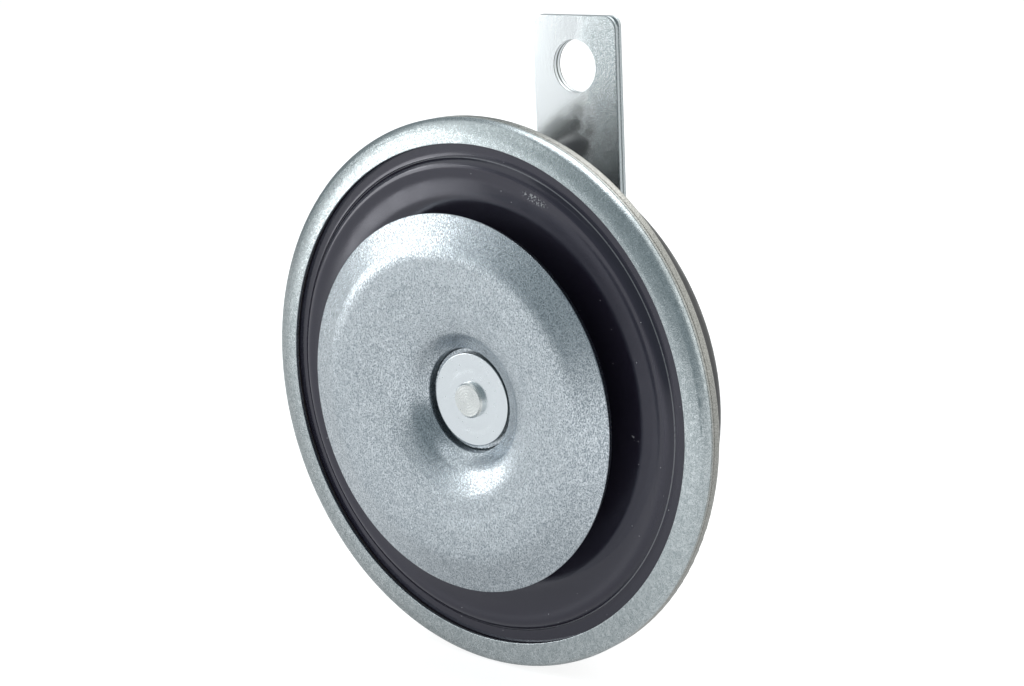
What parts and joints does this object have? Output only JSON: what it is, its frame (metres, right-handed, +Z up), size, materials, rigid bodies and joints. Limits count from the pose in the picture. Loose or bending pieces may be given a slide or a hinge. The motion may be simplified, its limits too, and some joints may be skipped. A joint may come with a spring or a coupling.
{
  "type": "car horn",
  "caption": "Electromagnetic disc horn: dished metal tone disc over a black diaphragm, crimped ring, stepped rear pan and a flat laminated mounting strap with a bolt hole.",
  "frame": {"origin": "centre of the strap's bolt hole, at the rear face of the rear leaf, which lands on the car", "axes": "+Z up along the strap, -Y the way the horn sounds, +Y back towards the car, +X to the right seen from the front"},
  "size_m": [0.104, 0.056, 0.1193],
  "materials": {
    "galvanised_rim": "mottled satin galvanised sheet",
    "galvanised_disc": "fine-grained satin galvanised sheet",
    "bright_zinc": "smooth bluish zinc plate",
    "strap_zinc": "smooth, nearly mirror-like zinc plate",
    "black_spring_sheet": "semi-gloss black paint on spring steel",
    "black_paint": "semi-gloss black paint on drawn steel",
    "gasket_fibre": "dark pressed fibre",
    "plain_steel": "plain cold-rolled steel",
    "turned_iron": "turned and zinc-flashed iron",
    "black_moulding": "moulded black plastic",
    "enamelled_copper": null,
    "brown_insulator": "brown laminated insulator",
    "spring_bronze": "bronze spring strip",
    "contact_metal": "grey contact metal",
    "tinned_brass": "tinned brass",
    "resistor_body": "fired body with tinned leads",
    "wire_sleeve": "sleeved wire"
  },
  "bodies": {
    "horn_body": {"rim_ring": "galvanised_rim", "diaphragm": "black_spring_sheet", "housing_pan": "black_paint", "front_gasket": "gasket_fibre", "rear_gasket": "gasket_fibre", "pole_core": "turned_iron", "yoke_plate": "plain_steel", "coil_bobbin": "black_moulding", "coil_winding": "enamelled_copper", "insulator_rear": "brown_insulator", "insulator_middle": "brown_insulator", "insulator_front": "brown_insulator", "clamp_plate": "plain_steel", "breaker_rivets": "bright_zinc", "breaker_spring": "spring_bronze", "fixed_contact": "contact_metal", "fixed_contact_bracket": "plain_steel", "adjuster_bush": "bright_zinc", "adjusting_screw": "bright_zinc", "terminal_base": "black_moulding", "terminal_insulator": "brown_insulator", "blade_terminal_left": "tinned_brass", "blade_terminal_right": "tinned_brass", "terminal_rivet_left": "tinned_brass", "terminal_rivet_right": "tinned_brass", "spark_resistor": "resistor_body", "lead_coil_terminal": "wire_sleeve", "lead_coil_contact": "wire_sleeve", "lead_spring_terminal": "wire_sleeve", "strap_front_leaf": "strap_zinc", "strap_rear_leaf": "strap_zinc", "flat_washer": "bright_zinc", "spring_washer": "bright_zinc", "mounting_nut": "bright_zinc"},
    "vibrating_group": {"tone_disc": "galvanised_disc", "front_washer": "bright_zinc", "disc_spacer": "plain_steel", "backing_washer": "plain_steel", "armature": "turned_iron"},
    "contact_arm": {"breaker_arm": "plain_steel", "arm_rivets": "bright_zinc", "moving_contact": "contact_metal", "contact_pusher": "brown_insulator"}
  },
  "joints": [
    {"name": "armature_slide", "type": "slide", "parent": "horn_body", "child": "vibrating_group", "axis": [0, 1, 0], "range_m": [0, 0.0006], "stiffness_N_per_m": 20000, "deforming": ["diaphragm"]},
    {"name": "contact_swing", "type": "hinge", "parent": "horn_body", "child": "contact_arm", "pos_m": [-0.03135, -0.021, -0.0577], "axis": [0, 0, 1], "range_deg": [0, 1.7], "stiffness_Nm_per_rad": 0.1, "deforming": ["breaker_spring"]}
  ],
  "couplings": [
    {"joint": "contact_swing", "follows": "armature_slide", "rad_per_m": 47.733}
  ]
}
